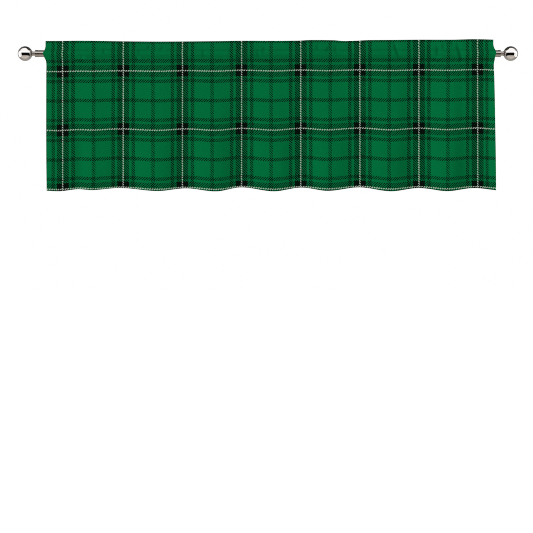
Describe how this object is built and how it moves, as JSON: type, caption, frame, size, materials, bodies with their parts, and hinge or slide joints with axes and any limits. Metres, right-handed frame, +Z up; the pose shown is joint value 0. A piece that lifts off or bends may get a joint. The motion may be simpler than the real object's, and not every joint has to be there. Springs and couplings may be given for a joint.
{
  "type": "window valance on a curtain rod",
  "caption": "Rod-pocket window valance of tartan cloth, hung in shallow folds on a round curtain rod with ball finials.",
  "frame": {"origin": "on the rod's axis, halfway between the two finial balls", "axes": "+X along the rod to the viewer's right, +Y towards the wall, +Z up"},
  "size_m": [1.504, 0.044, 0.4573],
  "materials": {
    "tartan_cloth": "printed cotton twill, soft and matt",
    "rod_chrome": "polished chrome plate",
    "finial_chrome": "polished chrome plate"
  },
  "bodies": {
    "root": {"valance": "tartan_cloth", "rod": "rod_chrome", "finial_left": "finial_chrome", "finial_right": "finial_chrome"}
  },
  "joints": []
}
